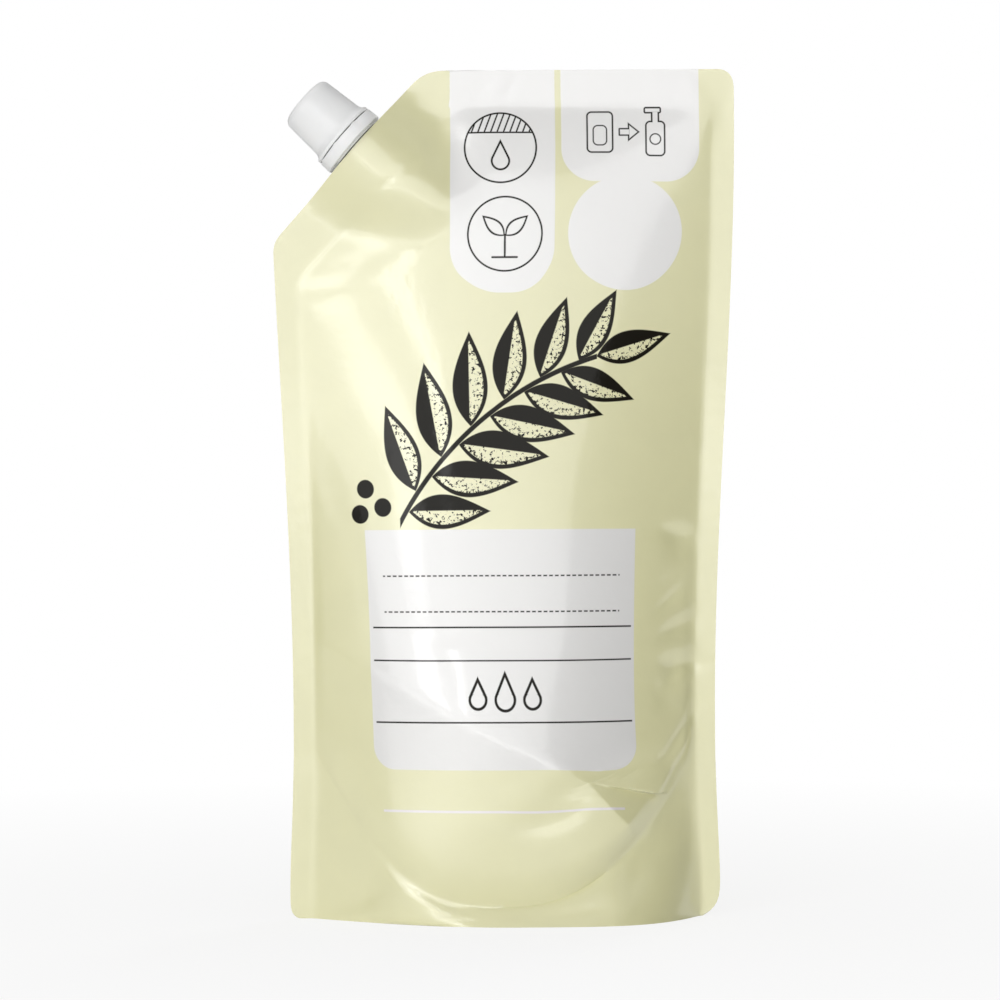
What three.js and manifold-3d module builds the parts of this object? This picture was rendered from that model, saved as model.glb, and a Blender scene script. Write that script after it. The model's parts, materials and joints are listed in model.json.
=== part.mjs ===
// Spouted stand-up refill pouch: a filled film bag with a folded base, a welded corner spout,
// its tamper ring and a screw cap. Millimetres, +Z up, front of the pack towards -Y.
import * as THREE from "three";
import { LoftGeometry } from "three/addons/geometries/LoftGeometry.js";
import { mergeVertices } from "three/addons/utils/BufferGeometryUtils.js";
import Module from "manifold-3d";

// Film bag
const HEIGHT = 254; // base edge to top edge
const TOP_WIDTH = 140; // flat width, across the top
const WAIST_WIDTH = 126.4; // width that is left where the filled bag pulls its sides in
const HALF_DEPTH = 23.6; // middle plane to the fullest part of the front
const FILL_TAPER = 1.35; // 1 is a straight wedge from the base to the top weld, more is fuller
const FILM = 0.2; // one layer of laminate
const SIDE_SEAL = 6.5;
const TOP_SEAL = 11;
const TOP_RADIUS = 4.5;
const BASE_RADIUS = 6;

// Slanted corner that carries the spout
const SHOULDER = 201; // height where the slant starts
const SLANT_RUN = 47; // how far it comes in along the top
const SLANT_SEAL = 13; // measured square to the slant
const SLANT_RADIUS = 12; // where it turns into the top edge
const SPOUT_AT = 0.57; // share of the slant below the spout

// Base gusset
const WELD_LOW = 5; // weld line of the gusset above the table, in the middle
const WELD_HIGH = 50; // and at the side seals
const WELD_POWER = 2.3; // how steeply it climbs towards the sides
const WELD_DIP = 1.3; // depth of the valley along the weld
const SKIRT_FLARE = 1.2; // how far the skirt's foot stands out
const PAN_SAG = 4; // how much lower the loaded gusset would hang without the table
const PAN_RISE = 3.2; // how steeply its middle climbs towards the sides
const BAG_EVEN = 78; // height above which the rows of the bag run level
const WAIST_TOP = 60; // height where the sides start to widen
const FULL_WIDTH = 240; // height where the right side has reached its full width

// Spout, measured along its own axis from the film's slanted edge
const FIT = 0.3; // clearance between neighbouring pieces
const NECK_R = 7.5; // over the crests of the thread
const BORE_R = NECK_R - 1.9;
const FLANGE_R = NECK_R + 2;
const FLANGE_THICK = 0.6;
const BEAD_R = NECK_R + 1.1; // keeps the tamper ring on the neck
const BEAD_THICK = 1.2;
const BOAT_LENGTH = 36; // weld base along the slant
const BOAT_THICK = 2 * BORE_R + 3.2;
const BOAT_DEPTH = 12; // how far it reaches into the bag
const TENT_END = 60; // how far below the slant the film still stands out from it
const RIB_COUNT = 4;
const RIB_DEPTH = 0.4;

// Tamper ring and cap
const RING_R = NECK_R + 3.6;
const RING_FOOT = FLANGE_THICK + 2 * FIT;
const RING_TALL = 3.2;
const RING_TOP = RING_FOOT + RING_TALL;
const NUB_COUNT = 8;
const NUB_WIDE = 1.3;
const NUB_TALL = 0.25;
const BEAD_FOOT = RING_TOP + 0.7;
const CAP_FOOT = RING_TOP + NUB_TALL + FIT;
const CAP_TALL = 16.25;
const CAP_TOP = CAP_FOOT + CAP_TALL;
const CAP_FLARE_R = NECK_R + 3.3;
const CAP_FOOT_R = NECK_R + 2; // just above the flare
const CAP_TOP_R = NECK_R + 1.25;
const CAP_EDGE = 2.4; // rounding round the top
const CAP_ROOF = 1.7;
const CAP_INSIDE_R = NECK_R + FIT + 0.05;
const NECK_TOP = CAP_TOP - CAP_ROOF - FIT;
const LIP_R = BORE_R - FIT; // lip that closes the bore
const LIP_TALL = 2;

const SIDES = 40; // facets round a turned surface
const { atan2, abs, cos, max, min, sin, sqrt, PI } = Math;
const slant = atan2(HEIGHT - SHOULDER, SLANT_RUN);
const spoutFoot = new THREE.Vector3(
  -TOP_WIDTH / 2 + SPOUT_AT * SLANT_RUN,
  0,
  SHOULDER + SPOUT_AT * (HEIGHT - SHOULDER),
);

const wasm = await Module();
wasm.setup();

// A closed geometry as a solid, ready for joining and cutting
function solid(geometry) {
  const bare = new THREE.BufferGeometry();
  bare.setAttribute("position", geometry.attributes.position);
  bare.setIndex(geometry.index);
  const { attributes, index } = mergeVertices(bare, 1e-4);
  const corners = Array.from({ length: index.count / 3 }, (_, i) => index.array.slice(3 * i, 3 * i + 3));
  const triVerts = Uint32Array.from(corners.filter((c) => new Set(c).size === 3).flatMap((c) => [...c]));
  return new wasm.Manifold(
    new wasm.Mesh({ numProp: 3, vertProperties: attributes.position.array, triVerts }),
  );
}

// A solid as a geometry again
function skin(body) {
  const { vertProperties, triVerts } = body.getMesh();
  const geometry = new THREE.BufferGeometry();
  geometry.setAttribute("position", new THREE.BufferAttribute(vertProperties, 3));
  geometry.setIndex(new THREE.BufferAttribute(triVerts, 1));
  geometry.computeVertexNormals();
  return geometry;
}

const span = (from, to, count) =>
  Array.from({ length: count + 1 }, (_, i) => from + ((to - from) * i) / count);

// How much an edge comes in at a distance from the end of its rounding
const rounding = (distance, radius) =>
  distance < radius ? radius - sqrt(radius ** 2 - (radius - max(distance, 0)) ** 2) : 0;

// Half the width of the bag before its corners are rounded, on a side that is full width from a height
function halfWidth(z, fullAt) {
  const open = THREE.MathUtils.smoothstep(z, WAIST_TOP, fullAt);
  return (WAIST_WIDTH + (TOP_WIDTH - WAIST_WIDTH) * open) / 2;
}

function rightEdge(z) {
  return halfWidth(z, FULL_WIDTH) - rounding(HEIGHT - z, TOP_RADIUS) - rounding(z, BASE_RADIUS);
}

// The slanted edge without its rounding
const slantLine = (z) => -TOP_WIDTH / 2 + ((z - SHOULDER) * SLANT_RUN) / (HEIGHT - SHOULDER);

// The left edge: straight side, slant, and the turn into the top edge
function leftEdge(z) {
  if (z <= SHOULDER) return rounding(z, BASE_RADIUS) - halfWidth(z, SHOULDER);
  const reach = SLANT_RADIUS * Math.tan(slant / 2);
  if (z < HEIGHT - reach * sin(slant)) return slantLine(z);
  const up = z - HEIGHT + SLANT_RADIUS;
  return slantLine(HEIGHT) + reach - sqrt(max(SLANT_RADIUS ** 2 - up ** 2, 0));
}

// Edges of the space between the welds
function pocketEdges(z) {
  const left = SIDE_SEAL - halfWidth(z, SHOULDER);
  return [max(left, slantLine(z) + SLANT_SEAL / sin(slant)), halfWidth(z, FULL_WIDTH) - SIDE_SEAL];
}

// Lanes run up the bag: -1 and 1 are the inner edges of the side welds, -2 and 2 the cut edges
function laneX(lane, z) {
  if (lane < -1) return leftEdge(z);
  if (lane > 1) return rightEdge(z);
  const [left, right] = pocketEdges(z);
  return (left + right) / 2 + (lane * (right - left)) / 2;
}

const weldHeight = (lane) =>
  WELD_LOW + (WELD_HIGH - WELD_LOW) * min(abs(lane), 1) ** WELD_POWER;

// Half the thickness of the pack: flat at the welds, full between them, with the valley along
// the gusset weld and the skirt flaring out below it
function halfThickness(lane, z) {
  const weld = weldHeight(lane);
  const layers = z < weld ? 2 : 1;
  if (abs(lane) >= 1) return layers * FILM;
  const filled = max(0, 1 - (z / (HEIGHT - TOP_SEAL)) ** FILL_TAPER);
  const [left, right] = pocketEdges(z);
  const across = (1 - abs(lane) ** 2.2) * ((right - left) / (WAIST_WIDTH - 2 * SIDE_SEAL));
  const fade = 1 - lane ** 6;
  const valley = z < weld ? z / weld : Math.exp((weld - z) / 6);
  const foot = z < weld ? SKIRT_FLARE * (1 - z / weld) : 0;
  const bag = HALF_DEPTH * filled * across + fade * (foot - WELD_DIP * valley * across);
  return 2 * FILM + Math.hypot(bag, max(0, tent(laneX(lane, z), z)));
}

// How far the film is held out by the weld base of the spout, fading out below it
function tent(x, z) {
  const run = x - spoutFoot.x;
  const rise = z - spoutFoot.z;
  const along = run * cos(slant) + rise * sin(slant);
  const inward = run * sin(slant) - rise * cos(slant);
  const reach = 1 - THREE.MathUtils.smoothstep(inward, BOAT_DEPTH, TENT_END);
  return (BOAT_THICK / 2 + FIT) * reach * (1 - (along / (BOAT_LENGTH / 2 + 2 * FIT)) ** 2);
}

// Closed sections round the bag: level rows on top, rows that follow the weld line below
function bagSections() {
  const inner = span(-1, 1, 22).map((u) => Math.sign(u) * abs(u) ** 0.85);
  const lanes = [-2, ...inner, 2];
  const rows = [
    ...[0, 0.05, 0.12, 0.3, 0.65, 1].map((t) => (lane) => t * weldHeight(lane)),
    ...[0.05, 0.15, 0.3, 0.5, 0.75, 1].map(
      (t) => (lane) => weldHeight(lane) + t * (BAG_EVEN - weldHeight(lane)),
    ),
    ...span(BAG_EVEN, SHOULDER, 11).slice(1).map((z) => () => z),
    ...span(SHOULDER, HEIGHT - TOP_SEAL, 7).slice(1).map((z) => () => z),
    ...[6.5, 4, 2, 0.8, 0.2, 0].map((d) => () => HEIGHT - d),
  ];
  const section = (height, open) => {
    const side = (sign) =>
      lanes.map((lane) => {
        const z = height(lane);
        return new THREE.Vector3(laneX(lane, z), open * sign * halfThickness(lane, z), z);
      });
    return [...side(-1), ...side(1).reverse()];
  };
  const middle = [rows.at(0), rows.at(-1)].map((height) => section(height, 0));
  return [middle[0], ...rows.map((height) => section(height, 1)), middle[1]];
}

// The hollow under the folded base: inside the skirt, below the loaded gusset
function underBase() {
  const lanes = span(-0.985, 0.985, 26);
  const sections = lanes.map((lane) => {
    const x = laneX(lane, 0);
    const weld = weldHeight(lane);
    const wall = (z) => halfThickness(lane, max(z, 0)) - 2 * FILM;
    const ridge = (WELD_HIGH + PAN_SAG) * abs(lane) ** PAN_RISE - PAN_SAG;
    const right = [-1, 0, 0.5 * weld, 0.999 * weld].map((z) => new THREE.Vector3(x, wall(z), z));
    const pan = span(0.92, -0.92, 12).map((t) => {
      const z = ridge + (weld - ridge) * abs(t) ** 2.5;
      return new THREE.Vector3(x, t * wall(0.999 * weld), z);
    });
    const left = right.map((p) => new THREE.Vector3(x, -p.y, p.z)).reverse();
    return [...right, ...pan, ...left];
  });
  return new LoftGeometry(sections, { capStart: true, capEnd: true });
}

// Boat outline: two arcs that meet at the ends
function boatOutline(length, thick) {
  const half = length / 2;
  const radius = (half ** 2 + (thick / 2) ** 2) / thick;
  const turn = Math.asin(half / radius);
  const side = (sign) =>
    span(-turn, turn, 14)
      .slice(0, -1)
      .map((a) => new THREE.Vector2(-sign * radius * sin(a), sign * radius * (cos(a) - cos(turn))));
  return [...side(-1), ...side(1)];
}

const boat = (length, thick, from, to) =>
  new THREE.ExtrudeGeometry(new THREE.Shape(boatOutline(length, thick)), {
    depth: to - from,
    bevelEnabled: false,
  }).translate(0, 0, from);

// Film drawn over the weld base, diving into the bag below it
function sleeve() {
  const stations = [
    [-3 * BOAT_DEPTH, 0.8, 0.2],
    [-BOAT_DEPTH - 3 * FIT, 1, 1],
    [0, 1, 1],
  ];
  const sections = stations.map(([along, wide, thick]) =>
    boatOutline((BOAT_LENGTH + 8 * FIT) * wide, (BOAT_THICK + 4 * FIT) * thick).map(
      (p) => new THREE.Vector3(p.x, p.y, along),
    ),
  );
  return new LoftGeometry(sections, { capStart: true, capEnd: true });
}

// Turned surface about the spout's axis, from [radius, height] pairs
function turned(profile) {
  const points = profile.map(([r, z]) => new THREE.Vector2(r, z));
  return new THREE.LatheGeometry([...points, points[0]], SIDES).rotateX(PI / 2);
}

const spoutPlace = new THREE.Matrix4().makeRotationY(-slant).setPosition(spoutFoot);
const placed = (geometry) => geometry.applyMatrix4(spoutPlace);

function pouch() {
  const bag = new LoftGeometry(bagSections());
  const pocket = boat(BOAT_LENGTH + 4 * FIT, BOAT_THICK + 2 * FIT, -BOAT_DEPTH - FIT, 5);
  return skin(
    solid(bag)
      .subtract(solid(underBase()))
      .add(solid(placed(sleeve())))
      .subtract(solid(placed(pocket))),
  );
}

// Weld base with its ribs, flange, retaining bead and neck, bored right through
function spout() {
  const core = boat(BOAT_LENGTH - 2 * RIB_DEPTH, BOAT_THICK - 2 * RIB_DEPTH, -BOAT_DEPTH, -FIT);
  const pitch = BOAT_DEPTH / RIB_COUNT;
  const ribs = span(0, RIB_COUNT - 1, RIB_COUNT - 1).map((i) =>
    boat(BOAT_LENGTH, BOAT_THICK, -BOAT_DEPTH + i * pitch, -BOAT_DEPTH + (i + 0.45) * pitch),
  );
  const neck = turned([
    [0, -BOAT_DEPTH + 1],
    [BORE_R + 0.8, -BOAT_DEPTH + 1],
    [BORE_R + 0.8, FIT],
    [FLANGE_R, FIT],
    [FLANGE_R, FIT + FLANGE_THICK],
    [NECK_R, FIT + FLANGE_THICK],
    [NECK_R, BEAD_FOOT],
    [BEAD_R, BEAD_FOOT],
    [BEAD_R, BEAD_FOOT + BEAD_THICK / 2],
    [NECK_R, BEAD_FOOT + BEAD_THICK],
    [NECK_R, NECK_TOP - 0.6],
    [NECK_R - 0.6, NECK_TOP],
    [0, NECK_TOP],
  ]);
  const bore = new THREE.CylinderGeometry(BORE_R, BORE_R, 60, SIDES).rotateX(PI / 2);
  const body = ribs.reduce((sum, rib) => sum.add(solid(rib)), solid(core));
  return placed(skin(body.add(solid(neck)).subtract(solid(bore))));
}

// Ring that stays on the neck below its bead, with the stubs of the bridges to the cap on top
function tamperRing() {
  const inner = CAP_INSIDE_R;
  const ring = turned([
    [inner, RING_FOOT + 0.4],
    [inner + 0.4, RING_FOOT],
    [RING_R - 0.3, RING_FOOT],
    [RING_R, RING_FOOT + 0.3],
    [RING_R - 0.2, RING_TOP],
    [inner + 1, RING_TOP],
    [inner, RING_TOP - 1],
  ]);
  const nubs = span(0, NUB_COUNT - 1, NUB_COUNT - 1).map((i) =>
    new THREE.BoxGeometry(1, NUB_WIDE, NUB_TALL + 0.5)
      .translate(RING_R - 0.95, 0, RING_TOP + (NUB_TALL - 0.5) / 2)
      .rotateZ((2 * PI * (i + 0.5)) / NUB_COUNT),
  );
  const body = nubs.reduce((sum, nub) => sum.add(solid(nub)), solid(ring));
  return placed(skin(body));
}

// Cap shell: flared foot, slim tapered wall, rounded top, thread room and a short sealing lip
function cap() {
  const roof = CAP_TOP - CAP_ROOF;
  const beadRoom = BEAD_FOOT + BEAD_THICK + FIT;
  const corner = span(0, PI / 2, 5).map((a) => [
    CAP_TOP_R - CAP_EDGE + CAP_EDGE * cos(a),
    CAP_TOP - CAP_EDGE + CAP_EDGE * sin(a),
  ]);
  return placed(
    turned([
      [BEAD_R + FIT, CAP_FOOT],
      [CAP_FLARE_R, CAP_FOOT],
      [CAP_FLARE_R, CAP_FOOT + 0.8],
      [CAP_FOOT_R + 0.35, CAP_FOOT + 2],
      [CAP_FOOT_R, CAP_FOOT + 3],
      ...corner,
      [0, CAP_TOP],
      [0, roof],
      [LIP_R - 0.8, roof],
      [LIP_R - 0.6, roof - LIP_TALL],
      [LIP_R - 0.2, roof - LIP_TALL],
      [LIP_R, roof],
      [CAP_INSIDE_R, roof],
      [CAP_INSIDE_R, beadRoom + 0.8],
      [BEAD_R + FIT, beadRoom],
    ]),
  );
}

function piece(name, geometry, color, roughness) {
  const material = new THREE.MeshStandardMaterial({ color, roughness, metalness: 0 });
  const mesh = new THREE.Mesh(geometry, material);
  mesh.name = name;
  return mesh;
}

const pack = new THREE.Group();
pack.add(
  piece("pouch", pouch(), 0xe9e6c4, 0.35),
  piece("spout", spout(), 0xf0f0ee, 0.45),
  piece("tamper_ring", tamperRing(), 0xf2f2f0, 0.4),
  piece("cap", cap(), 0xf2f2f0, 0.4),
);

export default pack;
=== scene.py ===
"""Looks of the spouted refill pouch: filled film bag with its print, cap, tamper ring, spout and stage.

Laid out as an add-on and run as a script. Blender lengths are metres; the film is cut in millimetres.
"""

import json
import math
from functools import partial
from types import SimpleNamespace

import bpy
import numpy as np
from bpy.props import FloatProperty, FloatVectorProperty, IntProperty, PointerProperty
from mathutils import Matrix, Vector


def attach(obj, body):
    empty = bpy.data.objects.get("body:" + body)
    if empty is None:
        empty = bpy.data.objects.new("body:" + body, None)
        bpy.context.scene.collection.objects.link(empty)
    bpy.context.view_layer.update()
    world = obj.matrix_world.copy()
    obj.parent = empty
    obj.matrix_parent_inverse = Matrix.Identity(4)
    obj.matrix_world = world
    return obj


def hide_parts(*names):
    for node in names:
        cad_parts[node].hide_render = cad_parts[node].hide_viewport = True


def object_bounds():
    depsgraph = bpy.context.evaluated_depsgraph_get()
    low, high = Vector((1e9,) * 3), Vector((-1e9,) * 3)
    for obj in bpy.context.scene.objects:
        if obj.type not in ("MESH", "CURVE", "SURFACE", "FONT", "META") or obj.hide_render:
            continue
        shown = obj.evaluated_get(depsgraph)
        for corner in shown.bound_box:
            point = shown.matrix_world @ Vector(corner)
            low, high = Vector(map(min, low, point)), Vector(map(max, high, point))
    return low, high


bl_info = {
    "name": "Refill pouch",
    "version": (1, 0, 0),
    "blender": (4, 5, 0),
    "location": "View3D > Sidebar > Pouch",
    "description": "Fills a welded film pouch, prints it and closes it with a capped spout",
    "category": "Object",
}

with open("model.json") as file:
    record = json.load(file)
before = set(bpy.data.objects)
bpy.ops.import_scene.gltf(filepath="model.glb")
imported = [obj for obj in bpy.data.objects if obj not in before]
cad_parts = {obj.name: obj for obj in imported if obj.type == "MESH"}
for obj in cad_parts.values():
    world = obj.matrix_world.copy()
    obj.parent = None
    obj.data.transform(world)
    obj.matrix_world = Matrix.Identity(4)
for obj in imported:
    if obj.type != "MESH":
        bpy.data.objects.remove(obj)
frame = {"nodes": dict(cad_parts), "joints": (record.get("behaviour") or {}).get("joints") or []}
CAD_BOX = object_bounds()
CAP_TURN = frame["joints"][0]
SPOUT_FOOT = Vector(CAP_TURN["pos_m"])
SPOUT_AXIS = Vector(CAP_TURN["axis"]).normalized()
MM = 0.001

# Film mesh: divisions across a seal, across the bag, up the skirt, the bag and the corner, along the gusset
SEAL_STEPS, BAG_STEPS, SKIRT_STEPS, GUSSET_STEPS = 4, 48, 9, 20
BAG_ROWS, LEVEL_ROWS, CORNER_ROWS = 18, 45, 16
TOP_ROWS = (7.5, 4.5, 2.2, 0.9, 0.2, 0.0)  # millimetres below the top edge

# Creases of the settled front, in millimetres
TUCK = ((23.5, 41.5), (50.0, 37.7), (40.4, 22.5))  # corners of the fold, which falls back towards the second
TUCK_LIFT, TUCK_FADE, TUCK_HANG = 3.6, 22.0, 0.9  # lift, reach of its fade, and hang of its edge
TUCK_MARGIN, TUCK_CUTS = 4.0, 3  # the mesh is cut finer in the fold and this far round it
LIP = (-36.0, -17.0, 1.0)  # left end, right end and lift of the skirt's lip below its weld
WELD_SWELL, WELD_RISE, WELD_FADE = 0.7, 2.2, 14  # how far the bag swells over its gusset's weld, and where
SEAL_STEP, SEAL_STEP_AT = 0.18, (43.5, 44.7)  # the side welds are thicker below this height
DENTS, DENT_DEPTH, DENT_SPAN = 10, 0.8, (48, 118)
RIPPLES, RIPPLE_DEPTH = 14, 0.12  # long soft waves that keep the film from filling too evenly
FOOT_BAND = (8, 45)  # heights between which the bag's foot spreads
BOAT_FADE = 60  # below the slanted edge, where the spout's base no longer holds the film out
GUSSET_SAG = 4  # how far the middle of the gusset would hang below the table
SEED = 3


def linear(code):
    """Linear colour of an sRGB hex value."""
    parts = [int(code[i : i + 2], 16) / 255 for i in (1, 3, 5)]
    return tuple(c / 12.92 if c <= 0.04045 else ((c + 0.055) / 1.055) ** 2.4 for c in parts) + (1.0,)


def length(name, description, default):
    """A length property, given in millimetres."""
    return FloatProperty(name=name, description=description, default=default * MM, unit="LENGTH", precision=5)


def number(name, description, default):
    """A plain number property."""
    return FloatProperty(name=name, description=description, default=default, min=0)


def tilt(name, description, degrees):
    """An angle property, given in degrees."""
    return FloatProperty(name=name, description=description, default=math.radians(degrees), unit="ROTATION")


def colour(name, description, code):
    """A colour property, given as sRGB hex."""
    return FloatVectorProperty(
        name=name, description=description, default=linear(code), size=4, subtype="COLOR", min=0, max=1
    )


class PouchSettings(bpy.types.PropertyGroup):
    """Cut and fill of the film bag."""

    height: length("Height", "Base edge to top edge", CAD_BOX[1].z / MM)
    top_width: length("Cut width", "Width of the flat film", (CAD_BOX[1].x - CAD_BOX[0].x) / MM)
    waist_width: length("Waist width", "Width left where the filled bag pulls its sides in", 126.4)
    half_depth: length("Half depth", "Middle plane to the fullest part of the front", 22.8)
    film: length("Film", "Half of the two welded layers", 0.15)
    side_seal: length("Side seal", "Width of the side welds", 6.5)
    top_seal: length("Top seal", "Height of the top weld", 11)
    slant_seal: length("Slant seal", "Width of the weld that holds the spout", 13)
    top_radius: length("Top radius", "Rounding of the top right corner", 4.5)
    base_left: length("Base left", "Rounding of the lower left corner", 3.2)
    base_right: length("Base right", "Rounding of the lower right corner", 7.5)
    slant_radius: length("Slant radius", "Rounding where the slant meets the top", 12)
    weld_low: length("Weld low", "Gusset weld above the table, in the middle", 5)
    weld_high: length("Weld high", "Gusset weld above the table, at the sides", 50)
    boat_room: length("Boat room", "How far the spout's weld base holds the film out", 7.9)
    boat_reach: length("Boat reach", "Along the slant from the spout to where the film lies flat", 22)
    waist_top: length("Waist top", "Height where the sides start to widen", 60)
    full_left: length("Full left", "Height where the left side would be at its full width", 262)
    full_right: length("Full right", "Height where the right side is at its full width", 240)
    bag_even: length("Even rows", "Height above which the rows of the mesh run level", 78)
    foot_spread: number("Foot spread", "Part of its slack that the foot keeps", 0.17)
    fill: number("Fill", "Soap in the bag, in litres", 0.52)
    bending: number("Bending", "Stiffness of the film against creasing", 12)
    seal_bending: number("Seal bending", "Stiffness of the welded layers", 90)
    skirt_flare: length("Skirt flare", "How far the skirt's foot stands out from the bag", 2.2)
    steps: IntProperty(name="Steps", description="Frames that the film settles for", default=24, min=2)


class PrintSettings(bpy.types.PropertyGroup):
    """Inks and finishes, and the colour of one painted highlight."""

    cream: colour("Cream", "Ground colour of the film", "#E1DEAB")
    white: colour("White", "Tabs and disc", "#ECEBE9")
    label: colour("Label", "Ground of the label", "#E2E1DF")
    ink: colour("Ink", "Drawing and rules", "#1C1A14")
    # Painted highlight: the thin pale lilac line above the base stands in for light caught on a low ridge of
    # the film
    lilac_highlight: colour("Lilac", "Thin line above the base", "#E9E3E6")
    cap: colour("Cap", "Moulded polypropylene", "#FAFAF9")
    spout: colour("Spout", "Moulded polyethylene", "#F0F0EE")


class StageSettings(bpy.types.PropertyGroup):
    """Camera and light."""

    distance: length("Distance", "Camera to pouch", 1000)
    rise: tilt("Rise", "Camera above level", 0)
    roll: tilt("Roll", "Tilt of the picture", 0.35)
    view_width: length("View width", "What the picture spans at the pouch", 300)
    view_x: length("View across", "Middle of the picture, across", -0.9)
    view_z: length("View up", "Middle of the picture, above the table", 125.1)


# Helpers


def add_node(tree, kind, inputs=(), **settings):
    """Adds a node, sets its properties, and fills its inputs, named or in order, with values or nodes."""
    node = tree.nodes.new(kind)
    for name, value in settings.items():
        setattr(node, name, value)
    for key, value in inputs.items() if isinstance(inputs, dict) else enumerate(inputs):
        if isinstance(value, bpy.types.Node):
            value = next(s for s in value.outputs if s.enabled)
        if isinstance(value, bpy.types.NodeSocket):
            tree.links.new(value, node.inputs[key])
        else:
            node.inputs[key].default_value = value
    return node


def new_material(name):
    """An empty node material and the function that adds nodes to it."""
    material = bpy.data.materials.new(name)
    material.use_nodes = True
    material.node_tree.nodes.clear()
    return material, partial(add_node, material.node_tree)


def finish_piece(obj, body, node, material):
    """Gives a piece its material, and its place in the frame."""
    obj.data.materials.clear()
    obj.data.materials.append(material)
    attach(obj, body)
    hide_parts(node)


def in_mm(settings):
    """The values of a group of lengths, in millimetres."""
    return SimpleNamespace(**{k: getattr(settings, k) / MM for k in type(settings).__annotations__})


def select_only(obj):
    """Makes a piece the one that is selected and active."""
    bpy.ops.object.select_all(action="DESELECT")
    bpy.context.view_layer.objects.active = obj
    obj.select_set(True)


def select_faces(obj, wanted):
    """Goes into edit mode with the faces selected for which wanted is true."""
    bpy.ops.object.mode_set(mode="EDIT")
    bpy.ops.mesh.select_mode(type="FACE")
    bpy.ops.mesh.select_all(action="DESELECT")
    bpy.ops.object.mode_set(mode="OBJECT")
    for face in obj.data.polygons:
        face.select = wanted(face)
    bpy.ops.object.mode_set(mode="EDIT")


def smooth(x, low, high):
    """0 below low, 1 above high, with an easy curve between."""
    t = np.clip((x - low) / (high - low), 0, 1)
    return t * t * (3 - 2 * t)


def rounding(distance, radius):
    """How much an edge comes in at a distance from the end of its rounding."""
    return radius - np.sqrt(radius**2 - np.clip(radius - distance, 0, radius) ** 2)


# The film, cut and welded flat


def film_cut(settings):
    """The sizes of the film in millimetres, with the slant that the spout's axis gives."""
    cut = in_mm(settings)
    cut.foot_spread = settings.foot_spread
    cut.slant = math.atan2(-SPOUT_AXIS.x, SPOUT_AXIS.z)
    cut.foot_x, cut.foot_z = SPOUT_FOOT.x / MM, SPOUT_FOOT.z / MM
    cut.shoulder = cut.foot_z - (cut.foot_x + cut.top_width / 2) * math.tan(cut.slant)
    return cut


def half_width(cut, z, full_at, waist):
    """Half the width of the bag on a side that is full width from a height, and wider again at its foot."""
    slack = (cut.top_width - waist) / 2
    foot = cut.foot_spread * (1 - smooth(z, *FOOT_BAND))
    return waist / 2 + slack * (smooth(z, cut.waist_top, full_at) + foot)


def slant_line(cut, z):
    """The slanted edge without its rounding."""
    return cut.foot_x + (z - cut.foot_z) / math.tan(cut.slant)


def left_edge(cut, z, waist):
    """The left edge: straight side, slant, and the turn into the top edge."""
    reach = cut.slant_radius * math.tan(cut.slant / 2)
    side = rounding(z, cut.base_left) - half_width(cut, z, cut.full_left, waist)
    up = np.clip(z - cut.height + cut.slant_radius, 0, cut.slant_radius)
    turn = slant_line(cut, cut.height) + reach - np.sqrt(cut.slant_radius**2 - up**2)
    above = np.where(z < cut.height - reach * math.sin(cut.slant), slant_line(cut, z), turn)
    return np.maximum(side, above)


def right_edge(cut, z, waist):
    """The right edge with its two rounded corners."""
    corners = rounding(cut.height - z, cut.top_radius) + rounding(z, cut.base_right)
    return half_width(cut, z, cut.full_right, waist) - corners


def lane_x(cut, lane, z, waist):
    """Place across: lanes -1 and 1 are the inner edges of the side welds, -2 and 2 the cut edges."""
    slant = slant_line(cut, z) + cut.slant_seal / math.sin(cut.slant)
    left = np.maximum(cut.side_seal - half_width(cut, z, cut.full_left, waist), slant)
    right = half_width(cut, z, cut.full_right, waist) - cut.side_seal
    inside = (left + right) / 2 + lane * (right - left) / 2
    to_left = left - (left_edge(cut, z, waist) - left) * (lane + 1)
    to_right = right + (right_edge(cut, z, waist) - right) * (lane - 1)
    return np.where(lane < -1, to_left, np.where(lane > 1, to_right, inside))


def weld_height(cut, lane):
    """The gusset's weld: low in the middle, high at the sides."""
    return cut.weld_low + (cut.weld_high - cut.weld_low) * np.minimum(np.abs(lane), 1) ** 2.3


def boat_tent(cut, x, z):
    """How far the weld base of the spout holds the film out, and how far below the slanted edge this is."""
    run, rise = x - cut.foot_x, z - cut.foot_z
    along = run * math.cos(cut.slant) + rise * math.sin(cut.slant)
    inward = run * math.sin(cut.slant) - rise * math.cos(cut.slant)
    spread = np.clip(1 - (along / cut.boat_reach) ** 2, 0, 1) ** 1.5
    return cut.boat_room * spread * (1 - smooth(inward, cut.slant_seal, BOAT_FADE)), inward


def first_bulge(cut, lane, z):
    """Half the thickness of the bag before it settles: flat at the welds, full between them."""
    full = np.maximum(0, 1 - (z / (cut.height - cut.top_seal)) ** 1.35)
    weld = weld_height(cut, lane)
    square = 2.2 + np.where(lane < 0, -0.6, 2.3) * np.clip(1 - z / weld, 0, 1)
    across = np.clip(1 - np.abs(lane) ** square, 0, 1)
    valley = np.where(z < weld, z / weld, np.exp((weld - z) / 6))
    foot = cut.skirt_flare * np.clip(1 - z / weld, 0, 1)
    bag = across * np.maximum(cut.half_depth * full - 2.2 * valley + foot, 0)
    tent = boat_tent(cut, lane_x(cut, lane, z, cut.waist_width), z)[0]
    return np.hypot(bag, tent * (z > cut.bag_even))


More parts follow.
